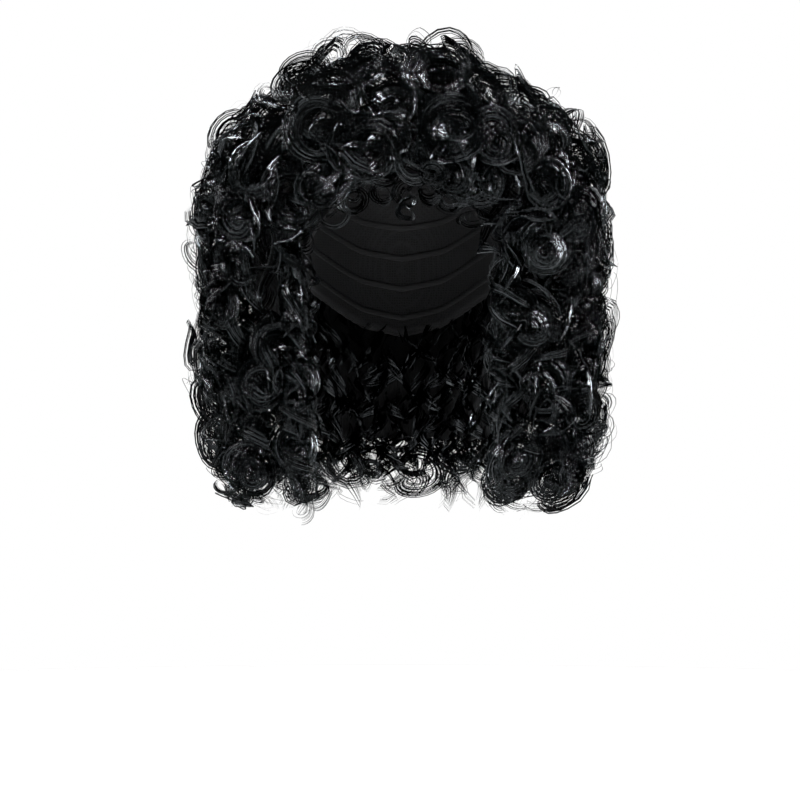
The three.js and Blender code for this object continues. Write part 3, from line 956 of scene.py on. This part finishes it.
def elastic_band(elastic):
    """The band round the cap's edge, shaped from a ring and gathered a little along its length."""
    bpy.ops.object.select_all(action="DESELECT")
    bpy.ops.mesh.primitive_torus_add(
        major_segments=BAND_COLUMNS, minor_segments=BAND_SIDES, major_radius=1, minor_radius=TUBE
    )
    band = bpy.context.active_object
    band.name = "elastic_band"

    def onto_edge(old):
        azimuth, outward, upward = ring_places(old)
        gather = GATHER_HEIGHT * np.sin(np.radians(azimuth) * GATHERS)
        middle = cap_edge_tilt(azimuth, (BAND_WIDTH - BAND_LAP) / 2)
        half_width = (BAND_WIDTH + BAND_LAP) / 2
        tilt = middle - signed_power(upward, BAND_CORNERS) * half_width / CROWN_HEIGHT
        through = 0.5 + 0.5 * signed_power(outward, BAND_CORNERS)
        return dome_point(azimuth, tilt, CAP_WALL + CLEARANCE + BAND_THICKNESS * through + gather)

    place_vertices(band, onto_edge)
    bpy.ops.object.shade_smooth()
    band.data.materials.append(elastic)
    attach(band, "root")
    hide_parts("edge_band")


def studio_floor():
    """A wide disc with a soft rim."""
    bpy.ops.object.select_all(action="DESELECT")
    bpy.ops.mesh.primitive_cylinder_add(
        vertices=FLOOR_SIDES,
        radius=FLOOR_RADIUS,
        depth=FLOOR_THICKNESS,
        location=(0, 0, FLOOR_Z - FLOOR_THICKNESS / 2),
    )
    floor = bpy.context.active_object
    floor.name = "studio_floor"
    bpy.ops.object.transform_apply(location=True)
    rim = floor.modifiers.new("rim", "BEVEL")
    rim.width = FLOOR_RIM
    rim.segments = 4
    bpy.ops.object.modifier_apply(modifier="rim")
    bpy.ops.object.shade_smooth_by_angle()
    paper, _, _, shader = new_material("pale_paper", 0.9, 0.1)
    shader.inputs["Base Color"].default_value = (*PAPER_COLOUR, 1)
    floor.data.materials.append(paper)


def soft_light(name, row):
    """A rectangular lamp that aims at a point of the middle plane."""
    light = bpy.data.lights.new(name, "AREA")
    light.shape = "RECTANGLE"
    light.size, light.size_y = row["width"], row["height"]
    light.energy = row["watts"]
    lamp = bpy.data.objects.new(name, light)
    bpy.context.scene.collection.objects.link(lamp)
    lamp.location = row["x"], row["y"], row["z"]
    x, y, z = -row["x"], row["aim_y"] - row["y"], row["aim_z"] - row["z"]
    lamp.rotation_euler = (math.atan2(math.hypot(x, y), -z), 0, math.atan2(-x, y))


def white_room():
    """A world that the camera sees as white, and that lights the hair only a little."""
    world = bpy.data.worlds.new("studio")
    world.use_nodes = True
    nodes, links = world.node_tree.nodes, world.node_tree.links
    room, white = nodes["Background"], nodes.new("ShaderNodeBackground")
    for background, strength in ((room, ROOM_LIGHT), (white, 1)):
        background.inputs["Color"].default_value = (1, 1, 1, 1)
        background.inputs["Strength"].default_value = strength
    seen = nodes.new("ShaderNodeLightPath")
    either = nodes.new("ShaderNodeMixShader")
    links.new(seen.outputs["Is Camera Ray"], either.inputs["Fac"])
    links.new(room.outputs["Background"], either.inputs[1])
    links.new(white.outputs["Background"], either.inputs[2])
    links.new(either.outputs["Shader"], nodes["World Output"].inputs["Surface"])
    bpy.context.scene.world = world
    bpy.context.scene.view_settings.view_transform = "Standard"


def front_camera():
    """A level camera in front."""
    lens = bpy.data.cameras.new("camera")
    lens.sensor_width = SENSOR_MM
    lens.lens = SENSOR_MM * CAMERA_DISTANCE / FRAME_WIDTH
    camera = bpy.data.objects.new("camera", lens)
    bpy.context.scene.collection.objects.link(camera)
    camera.location = (CAMERA_X, -CAMERA_DISTANCE, FRAME_CENTRE_Z)
    camera.rotation_euler = (math.pi / 2, 0, 0)
    bpy.context.scene.camera = camera


strand_material, dark_material = glossy_hair(), dense_hair()
for number, (name, section) in enumerate(SECTIONS.items()):
    build_hair(name, section, strand_material, dark_material, FIRST_SEED + number)
elastic = woven_elastic()
net_cap(elastic)
elastic_band(elastic)
studio_floor()
for name, row in table(LIGHT_ROWS).items():
    soft_light(name, row)
white_room()
front_camera()
